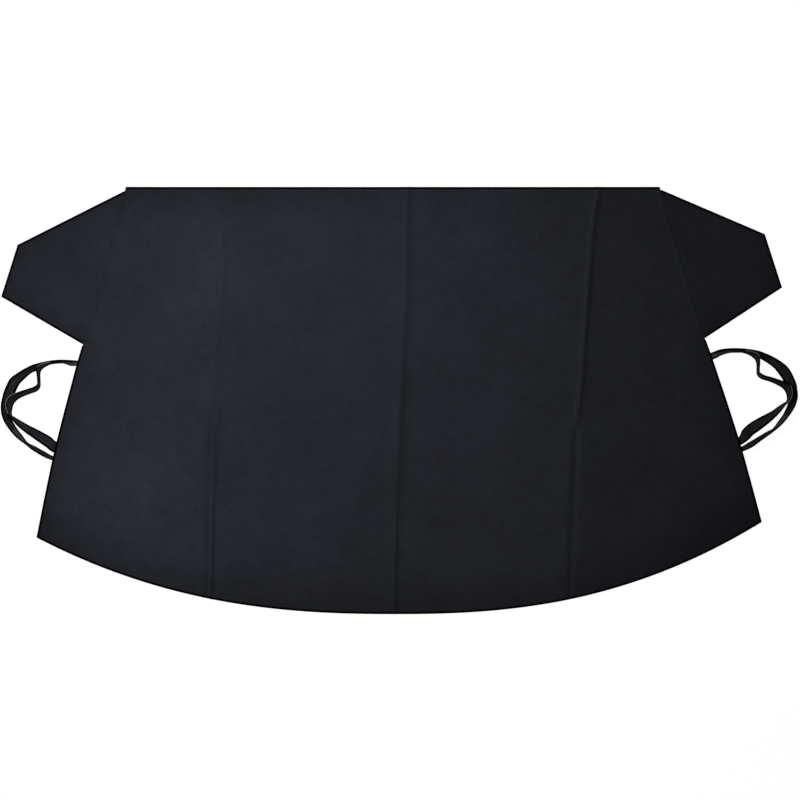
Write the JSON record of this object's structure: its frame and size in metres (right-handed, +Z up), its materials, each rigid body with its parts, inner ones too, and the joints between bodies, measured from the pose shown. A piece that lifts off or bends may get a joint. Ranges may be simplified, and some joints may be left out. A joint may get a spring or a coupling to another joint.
{
  "type": "windshield frost cover",
  "caption": "Cloth cover laid over a car's windshield against frost, with a flap at each side to shut in a door, bound edges and elastic loops for the mirrors.",
  "frame": {"origin": "on the floor under the middle of the cloth's bounding box, the elastic bands left out", "axes": "+X to the right along the cover, +Y towards the edge that lies along the roof, +Z up out of the outer face"},
  "size_m": [1.7503, 0.9396, 0.0277],
  "materials": {
    "cover_cloth": "matt coated woven polyester, dark slate",
    "edge_tape": "black woven binding tape",
    "elastic": "black ribbed woven elastic with a slight sheen"
  },
  "bodies": {
    "root": {"main_panel": "cover_cloth", "left_wing": "cover_cloth", "right_wing": "cover_cloth", "roof_edge_tape": "edge_tape", "hem_tape": "edge_tape", "left_wing_tape": "edge_tape", "right_wing_tape": "edge_tape", "left_outer_band": "elastic", "left_inner_band": "elastic", "right_outer_band": "elastic", "right_inner_band": "elastic"}
  },
  "joints": []
}
